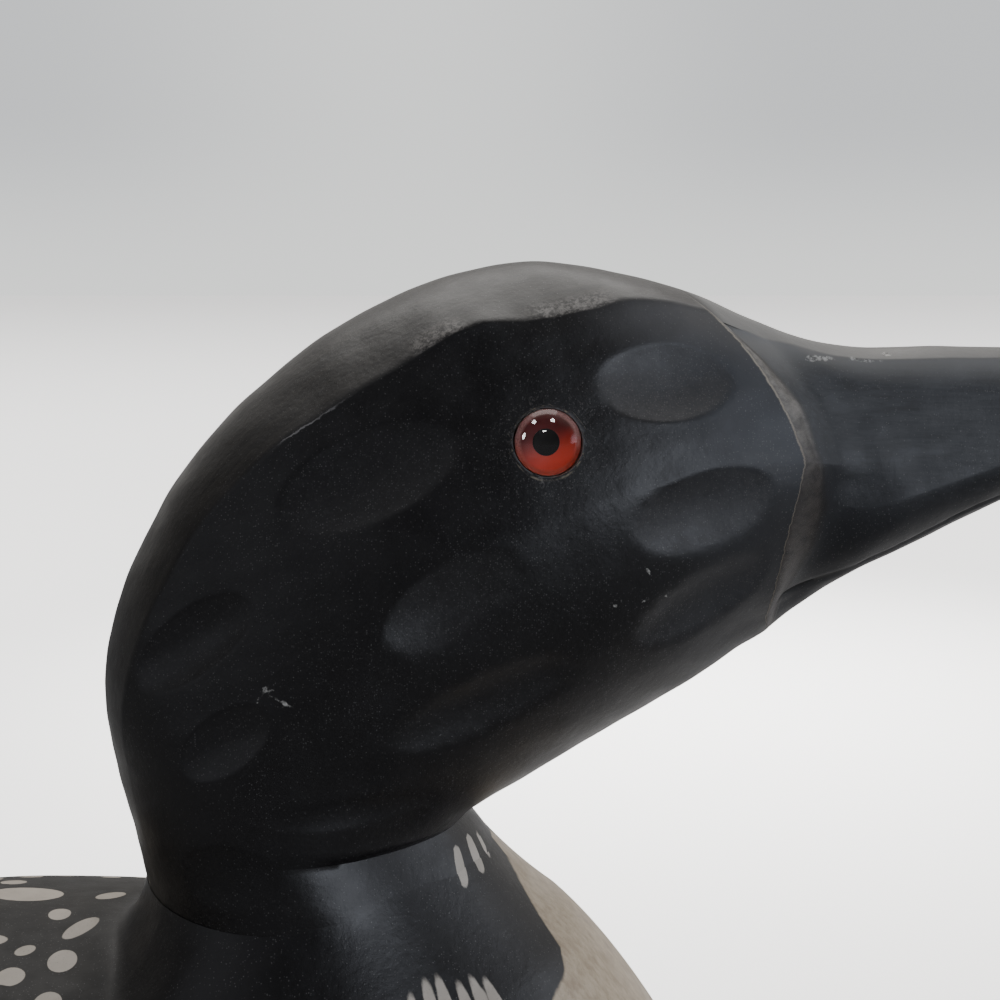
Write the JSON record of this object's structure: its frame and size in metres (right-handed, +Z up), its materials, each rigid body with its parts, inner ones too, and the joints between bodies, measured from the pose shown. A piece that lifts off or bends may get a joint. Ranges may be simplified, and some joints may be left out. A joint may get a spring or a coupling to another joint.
{
  "type": "loon decoy bust",
  "caption": "Bust of a carved wooden loon decoy: gouge-marked black head with a long pointed bill and red glass eyes on a block of breast and shoulders.",
  "frame": {"origin": "on the flat underside, below the middle of the whole length from the back of the shoulders to the bill's tip", "axes": "+Z up, +X towards the bill's tip, the bird's left side at +Y"},
  "size_m": [0.255, 0.1558, 0.1558],
  "materials": {
    "painted_body": "satin black paint with off-white spots and a glazed tan breast, over carved wood",
    "painted_head": "satin black paint, rubbed through on the edges, over gouge-carved wood",
    "eye_glass": "polished glass dome over a red iris and a black pupil"
  },
  "bodies": {
    "root": {"body": "painted_body", "head": "painted_head", "eye_right": "eye_glass", "eye_left": "eye_glass"}
  },
  "joints": []
}
